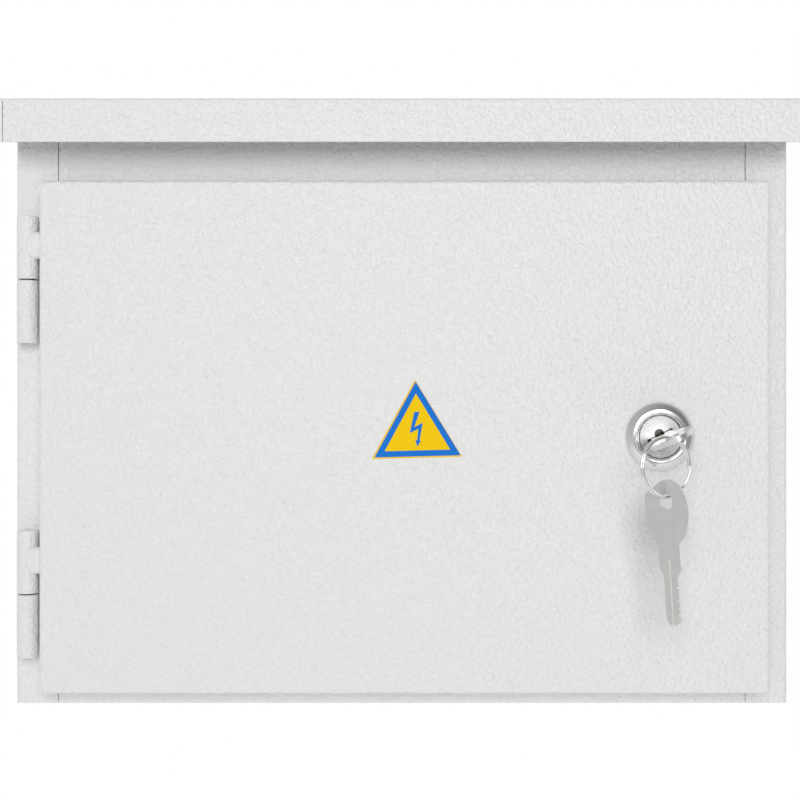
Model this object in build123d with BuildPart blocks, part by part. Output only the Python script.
"""Wall-mounted sheet-steel electrical enclosure with a rain hood, a keyed door and its fittings.

Frame: origin at the centre of the wall-hole pattern, on the outside of the back sheet.
+X points to the right, +Y into the wall and +Z up, so the enclosure stands out towards -Y.
All lengths are millimetres.
"""
import os
from math import cos, radians, sin, tan

from build123d import *

os.makedirs("parts", exist_ok=True)


# ---------------------------------------------------------------- driving dimensions

# steel body
body_width = 300.0
body_height = 230.0
body_depth = 140.0
sheet = 1.0                 # sheet thickness of body, door and hood
bend_radius = 1.5           # outside radius of a folded corner
side_flange = 16.2          # width of the front flanges at left and right
top_return = 35.5           # height of the front face above the opening
bottom_return = 14.0        # height of the front face below the opening
rain_lip = 6.0              # lip that stands forward round the opening
joint_gap = 0.3             # open joint between folded sheets

# door pan
door_left = 12.3            # from the body's left side to the door's left edge
door_right = 10.2           # from the door's right edge to the body's right side
door_bottom = 6.3           # from the body's bottom to the door's bottom edge
door_top = 28.7             # from the door's top edge to the body's top
door_reach = 13.5           # from the body's front face to the door's front face
door_gap = 1.0              # between the door's folded edge and the body's front face
door_edge_radius = 1.5

# rain hood
hood_reach = 18.0           # how far the hood's front stands before the body
hood_fascia = 16.5          # height of the hood's front edge
hood_lift = 1.5             # from the body's top to the top of the fascia
hood_slope = 3.5            # degrees, falling to the front
hood_clearance = 0.2        # between the hood's sides and the body
cheek_rise = 4.0            # from the fascia's lower edge to the side cheeks' lower edge

# wall fixing and cable entry
wall_hole_radius = 4.0
wall_hole_inset_x = 25.0    # from the body's side to the hole's centre
wall_hole_inset_z = 30.0
entry_count = 3
entry_pitch = 60.0
entry_hole_radius = 12.5
entry_bore_radius = 10.0

# weld-on barrel hinges
hinge_radius = 4.1
hinge_pin_radius = 2.0
hinge_running_clearance = 0.05
hinge_margin = 1.6          # from the body's left side to the knuckles
hinge_standoff = 0.4        # between the knuckles and the body's front face
knuckle_length = 24.2
hinge_washer = 0.5
lower_hinge_height = 43.0   # from the body's bottom to the lower hinge's joint
upper_hinge_drop = 66.1     # from the body's top to the upper hinge's joint
hinge_tab_height = 8.5
hinge_tab_drop = 7.1        # from the door knuckle's upper end to the tab's upper end
hinge_tab_thickness = 2.0

# keyed cam lock
lock_from_right = 52.3      # lock axis, inward from the body's right side
lock_height = 104.0         # lock axis above the body's bottom
key_angle = 25.8            # degrees, the keyway's slope at rest
lock_flange_width = 3.5     # from the barrel's radius to the flange's
lock_flange_height = 2.6
lock_rim_width = 1.5        # from the plug head's radius to the rim's
lock_barrel_radius = 9.5
lock_flat_depth = 1.5       # how deep each flat cuts into the barrel
lock_barrel_length = 20.0
plug_head_radius = 8.2
plug_radius = 6.2
plug_clearance = 0.06
cam_overlap = 7.9           # how far the closed cam reaches behind the body's flange
cam_width = 16.0
cam_thickness = 2.0
cam_flange_gap = 0.6        # between the closed cam and the back of the body's flange

# keys and ring
key_thickness = 1.8
key_bow_width = 16.6
key_bow_length = 22.8
key_neck_width = 8.0
key_neck_length = 8.7
key_blade_width = 5.4
key_length = 52.0
key_out = 34.2              # how far the inserted key stands out of the door's front face
key_hole_width = 4.8
key_hole_length = 5.6
key_hole_from_end = 7.9
ring_radius = 10.8          # to the middle of the wire
ring_wire = 1.0             # wire diameter
ring_pitch = 1.04           # between the two turns of the split ring
ring_top_offset = (-3.28, 6.73, 0.59)   # top of the ring from the bow's end, on the lock's axis
ring_yaw = 29.0
ring_lean = 2.0
spare_yaw = 35.0
spare_tilt = 4.1

# mounting plate and its fittings
plate_margin_x = 32.0       # from the body's side to the plate's edge
plate_margin_z = 27.0
plate_thickness = 1.5
plate_from_back = 18.0      # from the inside of the back sheet to the back of the plate
stud_radius = 3.0
stud_inset = 10.0           # from the plate's edge to the stud's centre
nut_flats = 10.0
nut_height = 5.0
washer_radius = 6.0
washer_thickness = 1.2
rail_inset = 10.0           # from the plate's edge to the rail's end
rail_width = 35.0
rail_depth = 7.5
rail_sheet = 1.0
bar_length = 96.0
bar_section = (6.5, 9.0)
bar_inset = 26.0            # from the plate's upper or lower edge to the middle of a busbar
terminal_count = 8

sign_side = 34.2
sign_thickness = 0.2
gasket_width = 8.0
gasket_gap = 0.2

# ---------------------------------------------------------------- places worked out from them

door_width = body_width - door_left - door_right
door_height = body_height - door_bottom - door_top
half_width = body_width / 2
half_height = body_height / 2
floor_z = -half_height
front_y = -body_depth
opening_x = half_width - side_flange
opening_low = floor_z + bottom_return
opening_high = half_height - top_return
door_x0 = -half_width + door_left
door_x1 = door_x0 + door_width
door_z0 = floor_z + door_bottom
door_z1 = door_z0 + door_height
door_x = (door_x0 + door_x1) / 2
door_z = (door_z0 + door_z1) / 2
door_front = front_y - door_reach
door_inside = door_front + sheet
hinge_x = -half_width + hinge_margin + hinge_radius
hinge_y = front_y - hinge_standoff - hinge_radius
lock_x = half_width - lock_from_right
lock_z = floor_z + lock_height
lock_flange_radius = lock_barrel_radius + lock_flange_width
lock_rim_radius = plug_head_radius + lock_rim_width
lock_flats = 2 * (lock_barrel_radius - lock_flat_depth)
cam_length = lock_from_right - side_flange + cam_overlap
plate_width = body_width - 2 * plate_margin_x
plate_height = body_height - 2 * plate_margin_z
stud_spacing_x = plate_width - 2 * stud_inset
stud_spacing_z = plate_height - 2 * stud_inset
rail_length = plate_width - 2 * rail_inset
key_normal = Vector(-sin(radians(key_angle)), 0, cos(radians(key_angle)))
outward = Vector(0, -1, 0)


def finish(builder, name):
    """Label a finished piece and write it under its own name."""
    builder.part.label = name
    export_step(builder.part, f"parts/{name}.step")
    size = builder.part.bounding_box().size
    print(f"{name:28s} {size.X:7.1f} {size.Y:7.1f} {size.Z:7.1f}")


def front_plane(y):
    """A plane facing the viewer at depth y, with X to the right and Z up."""
    return Plane(origin=(0, y, 0), x_dir=(1, 0, 0), z_dir=(0, -1, 0))


def lock_plane(out, turn=0.0):
    """A plane across the lock's axis, so far in front of the door, turned about that axis."""
    across = (cos(radians(turn)), 0, sin(radians(turn)))
    return Plane(origin=(lock_x, door_front - out, lock_z), x_dir=across, z_dir=(0, -1, 0))


# ---------------------------------------------------------------- body

rivet_radius = 2.0
rivet_depths = (-30.0, -110.0)
rivet_rise = 9.5            # from the hood's lower edge to the rivets
rivet_z = half_height + hood_lift - hood_fascia + rivet_rise
rivet_heads_x = half_width + hood_clearance + sheet

with BuildPart() as body_wrap:
    with BuildSketch(Plane.XY.offset(floor_z)):
        with Locations((0, -body_depth / 2)):
            RectangleRounded(body_width, body_depth, bend_radius)
            RectangleRounded(body_width - 2 * sheet, body_depth - 2 * sheet,
                             bend_radius - sheet, mode=Mode.SUBTRACT)
        with Locations((0, front_y)):
            Rectangle(2 * opening_x, 4 * sheet, mode=Mode.SUBTRACT)
    extrude(amount=body_height)
    with BuildSketch(Plane.XY.offset(opening_low - sheet)):
        for side in (-1, 1):
            with Locations((side * (opening_x + sheet / 2), front_y + sheet - (rain_lip + sheet) / 2)):
                Rectangle(sheet, rain_lip + sheet)
    extrude(amount=opening_high - opening_low + 2 * sheet)
    with Locations(Plane.XZ):
        with GridLocations(body_width - 2 * wall_hole_inset_x, body_height - 2 * wall_hole_inset_z, 2, 2):
            Hole(wall_hole_radius, depth=4 * sheet)
    with BuildSketch(Plane.YZ.offset(-half_width - sheet)):
        for depth in rivet_depths:
            with Locations((depth, rivet_z)):
                Circle(rivet_radius)
    extrude(amount=body_width + 2 * sheet, mode=Mode.SUBTRACT)
finish(body_wrap, "body_wrap")

return_x = opening_x - joint_gap
panel_width = body_width - 2 * sheet
panel_depth = body_depth - 2 * sheet

with BuildPart() as top_panel:
    with BuildSketch(Plane.XY.offset(half_height - sheet)):
        with Locations((0, -body_depth / 2)):
            RectangleRounded(panel_width, panel_depth, bend_radius - sheet)
    extrude(amount=sheet)
    with BuildSketch(front_plane(front_y + sheet)):
        with Locations((0, half_height - top_return / 2)):
            Rectangle(2 * return_x, top_return)
    extrude(amount=sheet)
    with BuildSketch(front_plane(front_y + sheet)):
        with Locations((0, opening_high + sheet / 2)):
            Rectangle(2 * return_x, sheet)
    extrude(amount=sheet + rain_lip)
finish(top_panel, "top_panel")

with BuildPart() as bottom_panel:
    with BuildSketch(Plane.XY.offset(floor_z)):
        with Locations((0, -body_depth / 2)):
            RectangleRounded(panel_width, panel_depth, bend_radius - sheet)
            with GridLocations(entry_pitch, 1, entry_count, 1):
                Circle(entry_hole_radius, mode=Mode.SUBTRACT)
    extrude(amount=sheet)
    with BuildSketch(front_plane(front_y + sheet)):
        with Locations((0, floor_z + bottom_return / 2)):
            Rectangle(2 * return_x, bottom_return)
    extrude(amount=sheet)
    with BuildSketch(front_plane(front_y + sheet)):
        with Locations((0, opening_low - sheet / 2)):
            Rectangle(2 * return_x, sheet)
    extrude(amount=sheet + rain_lip)
finish(bottom_panel, "bottom_panel")

# ---------------------------------------------------------------- rain hood and its rivets

hood_front = front_y - hood_reach
hood_top_front = half_height + hood_lift
hood_rise = -hood_front * tan(radians(hood_slope))
hood_top_back = hood_top_front + hood_rise
hood_low = hood_top_front - hood_fascia
hood_half = half_width + hood_clearance + sheet
roof_drop = sheet / cos(radians(hood_slope))

with BuildPart() as rain_hood:
    with BuildSketch(Plane.YZ.offset(-hood_half)):
        with BuildLine():
            Polyline((0, hood_low), (hood_front, hood_low), (hood_front, hood_top_front),
                     (0, hood_top_back), close=True)
        make_face()
    extrude(amount=2 * hood_half)
    folded = rain_hood.edges().filter_by(Axis.X).group_by(Axis.Y)[0]
    fillet(folded.sort_by(Axis.Z)[-1], bend_radius)
    with BuildSketch(Plane.YZ.offset(-hood_half + sheet)):
        with BuildLine():
            Polyline((-sheet, hood_low), (hood_front + sheet, hood_low),
                     (hood_front + sheet, hood_top_front - roof_drop),
                     (-sheet, hood_top_back - roof_drop), close=True)
        make_face()
    extrude(amount=2 * (hood_half - sheet), mode=Mode.SUBTRACT)
    with BuildSketch(Plane.YZ.offset(-hood_half + sheet)):
        with Locations((-sheet / 2, (hood_low + half_height) / 2)):
            Rectangle(2 * sheet, half_height - hood_low)
    extrude(amount=2 * (hood_half - sheet), mode=Mode.SUBTRACT)
    with BuildSketch(Plane.YZ.offset(-hood_half)):
        with Locations(((hood_front + sheet) / 2, hood_low + cheek_rise / 2)):
            Rectangle(-hood_front - sheet, cheek_rise)
    extrude(amount=2 * hood_half, mode=Mode.SUBTRACT)
    with BuildSketch(front_plane(hood_front + sheet)):
        with Locations((0, (hood_low + hood_top_front - bend_radius) / 2)):
            with GridLocations(2 * (hood_half - sheet) - joint_gap, 1, 2, 1):
                Rectangle(joint_gap, hood_fascia - bend_radius)
    extrude(amount=sheet, mode=Mode.SUBTRACT)
    with BuildSketch(Plane.YZ.offset(-hood_half)):
        for depth in rivet_depths:
            with Locations((depth, rivet_z)):
                Circle(rivet_radius)
    extrude(amount=2 * hood_half, mode=Mode.SUBTRACT)
finish(rain_hood, "rain_hood")

rivet_head_radius = 4.0
rivet_head_height = 1.3
rivet_bulb_radius = 3.0
rivet_bulb_length = 3.0
rivet_head_taper = 35.0     # degrees
rivet_bulb_taper = 12.0

with BuildPart() as hood_rivets:
    for side in (-1, 1):
        for depth in rivet_depths:
            seat = Plane(origin=(side * rivet_heads_x, depth, rivet_z), z_dir=(side, 0, 0))
            with BuildSketch(seat):
                Circle(rivet_head_radius)
            extrude(amount=rivet_head_height, taper=rivet_head_taper)
            with BuildSketch(seat):
                Circle(rivet_radius)
            extrude(amount=-(hood_clearance + 2 * sheet + rivet_bulb_length))
            with BuildSketch(seat.offset(-(hood_clearance + 2 * sheet))):
                Circle(rivet_bulb_radius)
            extrude(amount=-rivet_bulb_length, taper=rivet_bulb_taper)
finish(hood_rivets, "hood_rivets")

# ---------------------------------------------------------------- hinges

tab_end_x = door_x0
tab_inset = 0.2             # from the knuckle's front to the tab's front face
tab_front = hinge_radius - tab_inset
pin_reach = knuckle_length - 4.0    # how far the pin goes into the door's knuckle
pin_chamfer = 0.5
pin_end_room = 0.5
hinge_washer_inset = 1.2    # from the knuckle's outside to the washer's
weld_foot_width = 3.0

hinges = (
    ("lower_hinge", floor_z + lower_hinge_height),
    ("upper_hinge", half_height - upper_hinge_drop),
)
for name, joint_z in hinges:
    axis_at = Plane(origin=(hinge_x, hinge_y, joint_z))

    with BuildPart() as body_knuckle:
        with BuildSketch(axis_at.offset(-knuckle_length)):
            Circle(hinge_radius)
            with Locations((0, (hinge_radius + hinge_standoff) / 2)):
                Rectangle(weld_foot_width, hinge_radius + hinge_standoff)
        extrude(amount=knuckle_length)
        with BuildSketch(axis_at):
            Circle(hinge_pin_radius)
        extrude(amount=-knuckle_length, mode=Mode.SUBTRACT)
    finish(body_knuckle, f"{name}_body_knuckle")

    with BuildPart() as hinge_pin:
        with BuildSketch(axis_at.offset(-knuckle_length)):
            Circle(hinge_pin_radius)
        extrude(amount=knuckle_length + hinge_washer + pin_reach)
        chamfer(hinge_pin.edges().group_by(Axis.Z)[-1], pin_chamfer)
    finish(hinge_pin, f"{name}_pin")

    with BuildPart() as spacer:
        with BuildSketch(axis_at):
            Circle(hinge_radius - hinge_washer_inset)
            Circle(hinge_pin_radius, mode=Mode.SUBTRACT)
        extrude(amount=hinge_washer)
    finish(spacer, f"{name}_washer")

    with BuildPart() as door_knuckle:
        with BuildSketch(axis_at.offset(hinge_washer)):
            Circle(hinge_radius)
        extrude(amount=knuckle_length)
        tab_top = hinge_washer + knuckle_length - hinge_tab_drop
        with BuildSketch(axis_at.offset(tab_top)):
            with Locations(((tab_end_x - hinge_x) / 2, hinge_tab_thickness / 2 - tab_front)):
                Rectangle(tab_end_x - hinge_x, hinge_tab_thickness)
        extrude(amount=-hinge_tab_height)
        with BuildSketch(axis_at.offset(hinge_washer)):
            Circle(hinge_pin_radius + hinge_running_clearance)
        extrude(amount=pin_reach + pin_end_room, mode=Mode.SUBTRACT)
    finish(door_knuckle, f"{name}_door_knuckle")

# ---------------------------------------------------------------- door

door_pan_depth = door_reach - door_gap
lock_hole_room = 0.1
lock_hole_radius = lock_barrel_radius + lock_hole_room
lock_hole_flats = lock_flats + 2 * lock_hole_room

with BuildPart() as door_panel:
    with BuildSketch(front_plane(front_y - door_gap)):
        with Locations((door_x, door_z)):
            RectangleRounded(door_width, door_height, bend_radius)
    extrude(amount=door_pan_depth)
    fillet(door_panel.faces().sort_by(Axis.Y)[0].edges(), door_edge_radius)
    with BuildSketch(front_plane(front_y - door_gap)):
        with Locations((door_x, door_z)):
            RectangleRounded(door_width - 2 * sheet, door_height - 2 * sheet, bend_radius - sheet)
    extrude(amount=door_pan_depth - sheet, mode=Mode.SUBTRACT)
    with BuildSketch(lock_plane(0)):
        Circle(lock_hole_radius)
        Rectangle(2 * lock_hole_radius, lock_hole_flats, mode=Mode.INTERSECT)
    extrude(amount=-2 * sheet, mode=Mode.SUBTRACT)
finish(door_panel, "door_panel")

gasket_side_room = 0.2
gasket_width_x = door_width - 2 * (sheet + gasket_side_room)
gasket_width_z = door_height - 2 * (sheet + gasket_side_room)
gasket_thickness = door_reach - sheet - rain_lip - gasket_gap

with BuildPart() as door_gasket:
    with BuildSketch(front_plane(door_inside + gasket_thickness)):
        with Locations((door_x, door_z)):
            RectangleRounded(gasket_width_x, gasket_width_z, bend_radius)
            RectangleRounded(gasket_width_x - 2 * gasket_width, gasket_width_z - 2 * gasket_width,
                             bend_radius, mode=Mode.SUBTRACT)
    extrude(amount=gasket_thickness)
finish(door_gasket, "door_gasket")

sign_from_middle = 4.45     # the sign stands a little right of the door's middle
sign_x = door_x + sign_from_middle
sign_base_height = 96.0
sign_base_z = floor_z + sign_base_height
sign_turn = 1.5             # degrees, stuck on slightly crooked
sign_corner = 0.3
sign_height = sign_side * sin(radians(60))

with BuildPart() as warning_sign:
    with BuildSketch(front_plane(door_front)) as sign_outline:
        with Locations(Location((sign_x, sign_base_z + sign_height / 3), sign_turn)):
            RegularPolygon(sign_side / (2 * cos(radians(30))), 3, rotation=90)
        fillet(sign_outline.vertices(), sign_corner)
    extrude(amount=sign_thickness)
finish(warning_sign, "warning_sign")

# ---------------------------------------------------------------- cam lock

nut_thickness = 4.5
serrated_washer = 0.8
serrated_washer_width = 3.0
counterbore_floor = 0.2     # bottom of the plug head's seat, in front of the door
plug_face = 2.3             # plug's front face, in front of the door
plug_head_gap = 0.1         # under the plug's head
groove_radius = plug_head_radius + 0.8
flange_edge = 0.7           # height of the flange's straight outer edge
rim_step = 0.3              # how far the dress rim stands above or below the flange's height
rim_width = 0.5
seat_edge = 0.2             # from the plug's head to the seat's edge
seal_depth = 0.5
seal_groove_outer = lock_flange_radius - 0.8
seal_groove_inner = lock_barrel_radius + 0.6
seal_room = 0.2
cam_behind = 0.6            # gap from the barrel's end to the cam

with BuildPart() as lock_housing:
    with BuildSketch(Plane(origin=(lock_x, door_front, lock_z), x_dir=(1, 0, 0), z_dir=(0, 0, 1))):
        with BuildLine():
            Polyline((0, 0), (lock_flange_radius, 0), (lock_flange_radius, -flange_edge),
                     (lock_rim_radius + rim_step, -lock_flange_height),
                     (lock_rim_radius, -lock_flange_height - rim_step),
                     (lock_rim_radius - rim_width, -lock_flange_height - rim_step),
                     (groove_radius, -lock_flange_height + rim_step),
                     (plug_head_radius + 2 * seat_edge, -lock_flange_height + rim_step),
                     (plug_head_radius + seat_edge, -lock_flange_height),
                     (0, -lock_flange_height), close=True)
        make_face()
    revolve(axis=Axis((lock_x, door_front, lock_z), (0, 1, 0)))
    with BuildSketch(lock_plane(0)):
        Circle(lock_barrel_radius)
        Rectangle(2 * lock_barrel_radius, lock_flats, mode=Mode.INTERSECT)
    extrude(amount=-lock_barrel_length)
    with BuildSketch(lock_plane(counterbore_floor)):
        Circle(plug_head_radius + plug_clearance)
    extrude(amount=2 * lock_flange_height, mode=Mode.SUBTRACT)
    with BuildSketch(lock_plane(-lock_barrel_length)):
        Circle(plug_radius + plug_clearance)
    extrude(amount=lock_barrel_length + 2 * lock_flange_height, mode=Mode.SUBTRACT)
    with BuildSketch(lock_plane(0)):
        Circle(seal_groove_outer)
        Circle(seal_groove_inner, mode=Mode.SUBTRACT)
    extrude(amount=seal_depth, mode=Mode.SUBTRACT)
finish(lock_housing, "lock_housing")

with BuildPart() as lock_seal:
    with BuildSketch(lock_plane(0)):
        Circle(seal_groove_outer - seal_room)
        Circle(seal_groove_inner + seal_room, mode=Mode.SUBTRACT)
    extrude(amount=seal_depth)
finish(lock_seal, "lock_seal")

with BuildPart() as lock_washer:
    with BuildSketch(lock_plane(-sheet)):
        Circle(lock_barrel_radius + serrated_washer_width)
        Circle(lock_hole_radius, mode=Mode.SUBTRACT)
    extrude(amount=-serrated_washer)
finish(lock_washer, "lock_washer")

lock_nut_flats = 2 * lock_barrel_radius + 5.0

with BuildPart() as lock_nut:
    with BuildSketch(lock_plane(-sheet - serrated_washer)):
        RegularPolygon(lock_nut_flats / 2, 6, major_radius=False)
        Circle(lock_barrel_radius, mode=Mode.SUBTRACT)
    extrude(amount=-nut_thickness)
finish(lock_nut, "lock_nut")

keyway_end_room = 0.3
keyway_depth = key_out - key_length - keyway_end_room   # its bottom, behind the door's front
keyway_width = key_thickness + 0.4
keyway_length = key_blade_width + 0.6
keyway_mouth = key_neck_width + 2.2         # in the plug's head, for the key's neck
finger_radius = 1.8                         # small round recess beside the keyway
finger_rise = 1.2
finger_depth = 1.6
plug_chamfer = 0.3
cam_screw_reach = 4.0
cam_screw_radius = 2.0
cam_screw_flats = 7.0
cam_screw_head = 2.8
cam_washer_thickness = 0.8
cam_washer_radius = 6.0
wafer_count = 5
wafer_pitch = 2.6
wafer_thickness = 1.0
wafer_length = 2 * (plug_radius - 0.9)
wafer_height = 5.0
wafer_first = -4.0
wafer_room = 0.1
plug_back = counterbore_floor + plug_head_gap
plug_end = lock_barrel_length + 0.1
tail_flats = 1.4 * (plug_radius - 0.5)      # its corners stay inside the plug's radius
tail_length = cam_behind + cam_thickness
tail_end = -plug_end - tail_length

with BuildPart() as lock_plug:
    with BuildSketch(lock_plane(plug_back)):
        Circle(plug_head_radius)
    extrude(amount=plug_face - plug_back)
    chamfer(lock_plug.faces().sort_by(Axis.Y)[0].edges(), plug_chamfer)
    with BuildSketch(lock_plane(plug_back)):
        Circle(plug_radius)
    extrude(amount=-(plug_back + plug_end))
    with BuildSketch(lock_plane(-plug_end, key_angle)):
        Rectangle(tail_flats, tail_flats)
    extrude(amount=-tail_length)
    with BuildSketch(lock_plane(plug_face, key_angle)):
        Rectangle(keyway_mouth, keyway_width)
    extrude(amount=-plug_face, mode=Mode.SUBTRACT)
    with BuildSketch(lock_plane(0, key_angle)):
        Rectangle(keyway_length, keyway_width)
    extrude(amount=keyway_depth, mode=Mode.SUBTRACT)
    with BuildSketch(lock_plane(plug_face, key_angle)):
        with Locations((0, finger_rise)):
            Circle(finger_radius)
    extrude(amount=-finger_depth, mode=Mode.SUBTRACT)
    for index in range(wafer_count):
        with BuildSketch(lock_plane(wafer_first - index * wafer_pitch + wafer_room, key_angle)):
            Rectangle(wafer_length + 2 * wafer_room, wafer_height + 2 * wafer_room)
        extrude(amount=-wafer_thickness - 2 * wafer_room, mode=Mode.SUBTRACT)
    with BuildSketch(lock_plane(tail_end)):
        Circle(cam_screw_radius)
    extrude(amount=cam_screw_reach, mode=Mode.SUBTRACT)
finish(lock_plug, "lock_plug")

with BuildPart() as wafer_tumblers:
    for index in range(wafer_count):
        with BuildSketch(lock_plane(wafer_first - index * wafer_pitch, key_angle)):
            Rectangle(wafer_length, wafer_height)
            Rectangle(keyway_length, keyway_width, mode=Mode.SUBTRACT)
        extrude(amount=-wafer_thickness)
finish(wafer_tumblers, "wafer_tumblers")

# The cam is joggled towards the door so that its tip closes just behind the body's flange.
cam_turn = key_angle - 90
cam_back = plug_end + cam_behind
cam_tip_out = -(door_reach + sheet + cam_flange_gap)
joggle_start = 12.5
joggle_end = 19.0
cam_corner = 3.0

with BuildPart() as lock_cam:
    cam_side = Plane(origin=(lock_x, door_front, lock_z),
                     x_dir=(cos(radians(cam_turn)), 0, sin(radians(cam_turn))),
                     z_dir=(sin(radians(cam_turn)), 0, -cos(radians(cam_turn))))
    with BuildSketch(cam_side.offset(-cam_width / 2)):
        with BuildLine():
            Polyline((-cam_width / 2, -cam_back), (joggle_start, -cam_back),
                     (joggle_end, cam_tip_out), (cam_length, cam_tip_out),
                     (cam_length, cam_tip_out - cam_thickness), (joggle_end + 1, cam_tip_out - cam_thickness),
                     (joggle_start + 1, -cam_back - cam_thickness),
                     (-cam_width / 2, -cam_back - cam_thickness), close=True)
        make_face()
    extrude(amount=cam_width)
    fillet(lock_cam.edges().filter_by(Axis.Y), cam_corner)
    with BuildSketch(lock_plane(-cam_back + 1, key_angle)):
        Rectangle(tail_flats, tail_flats)
    extrude(amount=-cam_thickness - 2, mode=Mode.SUBTRACT)
finish(lock_cam, "lock_cam")

with BuildPart() as cam_washer:
    with BuildSketch(lock_plane(tail_end)):
        Circle(cam_washer_radius)
        Circle(cam_screw_radius, mode=Mode.SUBTRACT)
    extrude(amount=-cam_washer_thickness)
finish(cam_washer, "cam_washer")

with BuildPart() as cam_screw:
    with BuildSketch(lock_plane(tail_end - cam_washer_thickness)):
        RegularPolygon(cam_screw_flats / 2, 6, major_radius=False)
    extrude(amount=-cam_screw_head)
    with BuildSketch(lock_plane(tail_end - cam_washer_thickness)):
        Circle(cam_screw_radius)
    extrude(amount=cam_washer_thickness + cam_screw_reach)
finish(cam_screw, "cam_screw")

# ---------------------------------------------------------------- keys and split ring

bow_widest = 12.0           # from the bow's end to its widest place
bow_shoulder = (18.2, 1.26)  # a point of the bow's lower curve: from its end, and in from its side
blade_taper = 2.8
blade_tip = 2.5
groove_width = 0.8
groove_depth = 0.45
groove_offset = 0.9         # of the two grooves of one face from the key's middle line
groove_run = 3.0            # how far the grooves run up into the neck
groove_overrun = 1.0        # how far the cutter passes the key's tip
notch_pitch = 2.4
notch_width = 0.9
notch_first = 2.0           # from the blade's start to the first notch
notch_depths = (0.5, 0.8, 0.4, 0.7, 0.45, 0.6)
small_notch = 0.2
small_notch_width = 0.7


def make_key(plane):
    """Flat key lying in the plane: local X runs from the blade to the bow's end, at the origin."""
    half_bow = key_bow_width / 2
    half_neck = key_neck_width / 2
    half_blade = key_blade_width / 2
    shoulder, shoulder_inset = bow_shoulder
    bow_quarter = bow_widest * (1 - cos(radians(45)))
    neck_end = key_bow_length + key_neck_length
    blade_start = neck_end + blade_taper
    tip_start = blade_tip - key_length
    groove_start = neck_end - groove_run
    groove_end = key_length + groove_overrun
    groove_middle = -(groove_start + groove_end) / 2
    with BuildPart() as key:
        with BuildSketch(plane.offset(-key_thickness / 2)):
            with BuildLine():
                Spline((-bow_widest, half_bow), (-bow_quarter, half_bow * sin(radians(45))), (0, 0),
                       (-bow_quarter, -half_bow * sin(radians(45))), (-bow_widest, -half_bow),
                       tangents=((1, 0), (-1, 0)))
                ThreePointArc((-bow_widest, -half_bow), (-shoulder, -half_bow + shoulder_inset),
                              (-key_bow_length, -half_neck))
                Polyline((-key_bow_length, -half_neck), (-neck_end, -half_neck),
                         (-blade_start, -half_blade), (tip_start, -half_blade))
                ThreePointArc((tip_start, -half_blade), (-key_length, 0),
                              (tip_start, half_blade))
                Polyline((tip_start, half_blade), (-blade_start, half_blade),
                         (-neck_end, half_neck), (-key_bow_length, half_neck))
                ThreePointArc((-key_bow_length, half_neck), (-shoulder, half_bow - shoulder_inset),
                              (-bow_widest, half_bow))
            make_face()
            with Locations((-key_hole_from_end, 0)):
                SlotOverall(key_hole_length, key_hole_width, mode=Mode.SUBTRACT)
            for index, depth in enumerate(notch_depths):
                place = -blade_start - notch_first - index * notch_pitch
                with Locations((place, half_blade)):
                    Rectangle(notch_width, 2 * depth, mode=Mode.SUBTRACT)
                with Locations((place - notch_pitch / 2, -half_blade)):
                    Rectangle(small_notch_width, 2 * small_notch, mode=Mode.SUBTRACT)
        extrude(amount=key_thickness)
        for face, across in ((1, groove_offset), (1, -groove_offset), (-1, 0.0)):
            with BuildSketch(plane.offset(face * (key_thickness / 2 - groove_depth))):
                with Locations((groove_middle, across)):
                    Rectangle(groove_end - groove_start, groove_width)
            extrude(amount=face * 2 * groove_depth, mode=Mode.SUBTRACT)
    return key


key_end = Vector(lock_x, door_front - key_out, lock_z)
inserted_key = make_key(Plane(origin=key_end, x_dir=outward, z_dir=key_normal))
finish(inserted_key, "inserted_key")

# The ring hangs in the bow's hole and round the bow's lower edge.
ring_right = Vector(cos(radians(ring_yaw)), sin(radians(ring_yaw)), 0)
ring_level = Vector(0, 0, 1).cross(ring_right)
ring_up = Vector(0, 0, 1) * cos(radians(ring_lean)) + ring_level * sin(radians(ring_lean))
ring_axis = ring_right.cross(ring_up)
ring_centre = key_end + Vector(*ring_top_offset) - ring_up * ring_radius

with BuildPart() as key_ring:
    for turn in (-0.5, 0.5):
        wire_place = ring_centre + ring_axis * (turn * ring_pitch) + ring_right * ring_radius
        with BuildSketch(Plane(origin=wire_place, x_dir=ring_right, z_dir=ring_up)):
            Circle(ring_wire / 2)
        revolve(axis=Axis(tuple(ring_centre), tuple(ring_axis)))
    with BuildSketch(Plane(origin=ring_centre - ring_right * ring_radius, x_dir=ring_axis, z_dir=ring_right)):
        Rectangle(ring_pitch, ring_wire / 2)
    extrude(amount=ring_wire / 4, both=True)
finish(key_ring, "key_ring")

# The spare key hangs from the bottom of the ring by the top of its hole.
# The gap is from the wire to the top of the rounded hole, whose sides hold the pair of wires.
hang_gap = 0.75
ring_bottom = ring_centre - ring_up * ring_radius
spare_across = Vector(cos(radians(spare_yaw)), -sin(radians(spare_yaw)), 0)
spare_up = Vector(0, 0, 1) * cos(radians(spare_tilt)) - spare_across * sin(radians(spare_tilt))
spare_normal = spare_up.cross(spare_across)
spare_drop = key_hole_length / 2 - ring_wire / 2 - hang_gap
spare_hole = ring_bottom - spare_up * spare_drop
spare_end = spare_hole + spare_up * key_hole_from_end
spare_key = make_key(Plane(origin=spare_end, x_dir=spare_up, z_dir=spare_normal))
finish(spare_key, "spare_key")

# ---------------------------------------------------------------- mounting plate and its studs

back_inside = -sheet
plate_back = back_inside - plate_from_back
plate_front = plate_back - plate_thickness
stud_spare = 3.0            # how far a stud stands out of its nut
stud_length = plate_from_back + plate_thickness + washer_thickness + nut_height + stud_spare
stud_hole_room = 0.5
stud_chamfer = 0.6
plate_corner = 3.0

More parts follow.
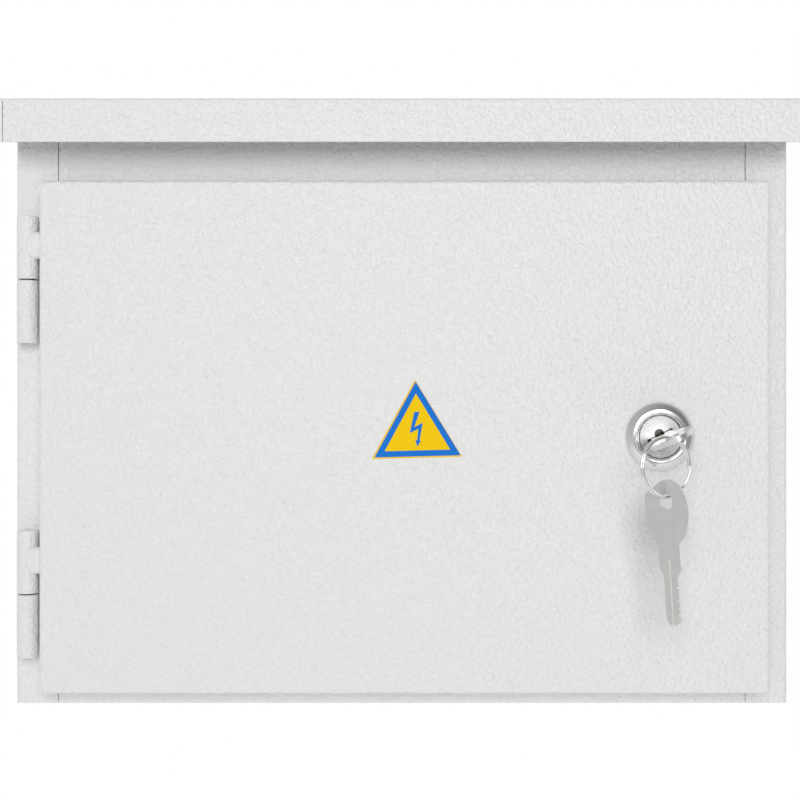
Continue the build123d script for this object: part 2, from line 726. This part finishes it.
with BuildPart() as mounting_plate:
    with BuildSketch(front_plane(plate_back)):
        RectangleRounded(plate_width, plate_height, plate_corner)
        with GridLocations(stud_spacing_x, stud_spacing_z, 2, 2):
            Circle(stud_radius + stud_hole_room, mode=Mode.SUBTRACT)
    extrude(amount=plate_thickness)
finish(mounting_plate, "mounting_plate")

with BuildPart() as plate_studs:
    with BuildSketch(front_plane(back_inside)):
        with GridLocations(stud_spacing_x, stud_spacing_z, 2, 2):
            Circle(stud_radius)
    extrude(amount=stud_length)
    chamfer(plate_studs.faces().group_by(Axis.Y)[0].edges(), stud_chamfer)
finish(plate_studs, "plate_studs")

stacks = (
    ("plate_back_nuts", plate_back + nut_height, nut_height, True),
    ("plate_washers", plate_front, washer_thickness, False),
    ("plate_nuts", plate_front - washer_thickness, nut_height, True),
)
for name, start, height, hexagonal in stacks:
    with BuildPart() as fastener:
        with BuildSketch(front_plane(start)):
            with GridLocations(stud_spacing_x, stud_spacing_z, 2, 2):
                if hexagonal:
                    RegularPolygon(nut_flats / 2, 6, major_radius=False)
                else:
                    Circle(washer_radius)
                Circle(stud_radius, mode=Mode.SUBTRACT)
        extrude(amount=height)
    finish(fastener, name)

# ---------------------------------------------------------------- rail for devices

rail_lip = 4.0
rail_crown = 27.0
rail_screw_pitch = 75.0
rail_slot = (15.0, 6.2)
rail_slot_count = 8
rail_slot_pitch = 25.0      # the slots stand between the screws
screw_radius = 2.5
screw_head_radius = 4.6
screw_head_height = 3.2
screw_head_fillet = 1.2
cross_recess = (5.6, 1.0)
cross_recess_depth = 1.6

with BuildPart() as din_rail:
    with BuildSketch(Plane.YZ.offset(-rail_length / 2)):
        with Locations((plate_front - rail_sheet / 2, 0)):
            Rectangle(rail_sheet, rail_crown)
        for side in (-1, 1):
            with Locations((plate_front - rail_depth / 2, side * (rail_crown - rail_sheet) / 2)):
                Rectangle(rail_depth, rail_sheet)
            with Locations((plate_front - rail_depth + rail_sheet / 2,
                            side * (rail_width / 2 - (rail_lip + rail_sheet) / 2))):
                Rectangle(rail_sheet, rail_lip + rail_sheet)
    extrude(amount=rail_length)
    with BuildSketch(front_plane(plate_front)):
        with GridLocations(rail_screw_pitch, 1, 3, 1):
            Circle(screw_radius)
        with GridLocations(rail_slot_pitch, 1, rail_slot_count, 1):
            SlotOverall(*rail_slot)
    extrude(amount=rail_sheet, mode=Mode.SUBTRACT)
finish(din_rail, "din_rail")

with BuildPart() as rail_screws:
    with BuildSketch(front_plane(plate_front - rail_sheet)):
        with GridLocations(rail_screw_pitch, 1, 3, 1):
            Circle(screw_head_radius)
    extrude(amount=screw_head_height)
    fillet(rail_screws.faces().group_by(Axis.Y)[0].edges(), screw_head_fillet)
    with BuildSketch(front_plane(plate_front - rail_sheet - screw_head_height)):
        with GridLocations(rail_screw_pitch, 1, 3, 1):
            Rectangle(*cross_recess)
            Rectangle(*cross_recess, rotation=90)
    extrude(amount=-cross_recess_depth, mode=Mode.SUBTRACT)
    with BuildSketch(front_plane(plate_front - rail_sheet)):
        with GridLocations(rail_screw_pitch, 1, 3, 1):
            Circle(screw_radius)
    extrude(amount=-rail_sheet)
finish(rail_screws, "rail_screws")

# ---------------------------------------------------------------- earth and neutral busbars

support_width = 9.0
support_height = 22.0
support_depth = 20.0
bar_deep, bar_high = bar_section
support_corner = 1.0
support_screw_head = 4.3
terminal_end_room = 3.0
terminal_pitch = (bar_length - 2 * support_width - 2 * terminal_end_room) / terminal_count
terminal_screw_radius = 2.2
terminal_screw_reach = 1.5
terminal_screw_head = 3.4
screw_slot_width = 1.0
screw_slot_depth = 1.2
bar_screw_head_height = 2.6
wire_hole_radius = 2.6
bar_front = plate_front - support_depth
support_pitch = bar_length - support_width

bar_z = plate_height / 2 - bar_inset
for name, height in (("neutral_bar", bar_z), ("earth_bar", -bar_z)):
    with BuildPart() as busbar:
        with BuildSketch(front_plane(bar_front)):
            with Locations((0, height)):
                Rectangle(bar_length, bar_high)
        extrude(amount=bar_deep)
        with BuildSketch(front_plane(bar_front)):
            with Locations((0, height)):
                with GridLocations(terminal_pitch, 1, terminal_count, 1):
                    Circle(terminal_screw_radius)
                with GridLocations(support_pitch, 1, 2, 1):
                    Circle(screw_radius)
        extrude(amount=bar_deep, mode=Mode.SUBTRACT)
        with BuildSketch(Plane.XY.offset(height - bar_high / 2)):
            with Locations((0, bar_front - bar_deep / 2)):
                with GridLocations(terminal_pitch, 1, terminal_count, 1):
                    Circle(wire_hole_radius)
        extrude(amount=bar_high, mode=Mode.SUBTRACT)
    finish(busbar, name)

    with BuildPart() as terminal_screws:
        with BuildSketch(front_plane(bar_front - bar_deep + terminal_screw_reach)):
            with Locations((0, height)):
                with GridLocations(terminal_pitch, 1, terminal_count, 1):
                    Circle(terminal_screw_radius)
        extrude(amount=terminal_screw_reach)
        with BuildSketch(front_plane(bar_front - bar_deep)):
            with Locations((0, height)):
                with GridLocations(terminal_pitch, 1, terminal_count, 1):
                    Circle(terminal_screw_head)
        extrude(amount=bar_screw_head_height)
        with BuildSketch(front_plane(bar_front - bar_deep - bar_screw_head_height)):
            with Locations((0, height)):
                with GridLocations(terminal_pitch, 1, terminal_count, 1):
                    Rectangle(2 * terminal_screw_head, screw_slot_width)
        extrude(amount=-screw_slot_depth, mode=Mode.SUBTRACT)
    finish(terminal_screws, f"{name}_screws")

    with BuildPart() as supports:
        with BuildSketch(front_plane(plate_front)):
            with Locations((0, height)):
                with GridLocations(support_pitch, 1, 2, 1):
                    RectangleRounded(support_width, support_height, support_corner)
        extrude(amount=support_depth)
        with BuildSketch(front_plane(plate_front)):
            with Locations((0, height)):
                with GridLocations(support_pitch, 1, 2, 1):
                    Circle(screw_radius)
        extrude(amount=support_depth, mode=Mode.SUBTRACT)
    finish(supports, f"{name}_supports")

    with BuildPart() as support_screws:
        with BuildSketch(front_plane(plate_front)):
            with Locations((0, height)):
                with GridLocations(support_pitch, 1, 2, 1):
                    Circle(screw_radius)
        extrude(amount=support_depth + bar_deep)
        with BuildSketch(front_plane(bar_front - bar_deep)):
            with Locations((0, height)):
                with GridLocations(support_pitch, 1, 2, 1):
                    Circle(support_screw_head)
        extrude(amount=bar_screw_head_height)
    finish(support_screws, f"{name}_support_screws")

# ---------------------------------------------------------------- earth studs

earth_length = 16.0
earth_nut_seat = 6.0        # from the sheet to the washer
earth_weld_radius = 4.5
earth_weld_height = 1.0
body_earth_depth = 60.0     # from the back of the body
body_earth_rise = 30.0
door_earth_inset = 30.0
door_earth_rise = 34.0
body_earth_seat = Plane(origin=(half_width - sheet, -body_earth_depth, floor_z + body_earth_rise),
                        z_dir=(-1, 0, 0))
door_earth_seat = Plane(origin=(door_x0 + door_earth_inset, door_inside, door_z0 + door_earth_rise),
                        z_dir=(0, 1, 0))
earth_places = (
    ("body_earth", body_earth_seat),
    ("door_earth", door_earth_seat),
)
for name, seat in earth_places:
    with BuildPart() as stud:
        with BuildSketch(seat):
            Circle(stud_radius)
        extrude(amount=earth_length)
        with BuildSketch(seat):
            Circle(earth_weld_radius)
        extrude(amount=earth_weld_height)
    finish(stud, f"{name}_stud")

    with BuildPart() as washer:
        with BuildSketch(seat.offset(earth_nut_seat)):
            Circle(washer_radius)
            Circle(stud_radius, mode=Mode.SUBTRACT)
        extrude(amount=washer_thickness)
    finish(washer, f"{name}_washer")

    with BuildPart() as nut:
        with BuildSketch(seat.offset(earth_nut_seat + washer_thickness)):
            RegularPolygon(nut_flats / 2, 6, major_radius=False)
            Circle(stud_radius, mode=Mode.SUBTRACT)
        extrude(amount=nut_height)
    finish(nut, f"{name}_nut")

# ---------------------------------------------------------------- cable grommets

grommet_flange = 3.0
grommet_flange_height = 2.0
grommet_fillet = 0.8
entry_names = ("left", "middle", "right")

for index, name in enumerate(entry_names):
    across = (index - (entry_count - 1) / 2) * entry_pitch
    centre = (across, -body_depth / 2)
    with BuildPart() as grommet:
        with BuildSketch(Plane.XY.offset(floor_z - grommet_flange_height)):
            with Locations(centre):
                Circle(entry_hole_radius + grommet_flange)
        extrude(amount=grommet_flange_height)
        with BuildSketch(Plane.XY.offset(floor_z)):
            with Locations(centre):
                Circle(entry_hole_radius)
        extrude(amount=sheet)
        with BuildSketch(Plane.XY.offset(floor_z + sheet)):
            with Locations(centre):
                Circle(entry_hole_radius + grommet_flange)
        extrude(amount=grommet_flange_height)
        fillet(grommet.edges().filter_by(GeomType.CIRCLE).group_by(Axis.Z)[0], grommet_fillet)
        with BuildSketch(Plane.XY.offset(floor_z - grommet_flange_height)):
            with Locations(centre):
                Circle(entry_bore_radius)
        extrude(amount=2 * grommet_flange_height + sheet, mode=Mode.SUBTRACT)
    finish(grommet, f"cable_grommet_{name}")
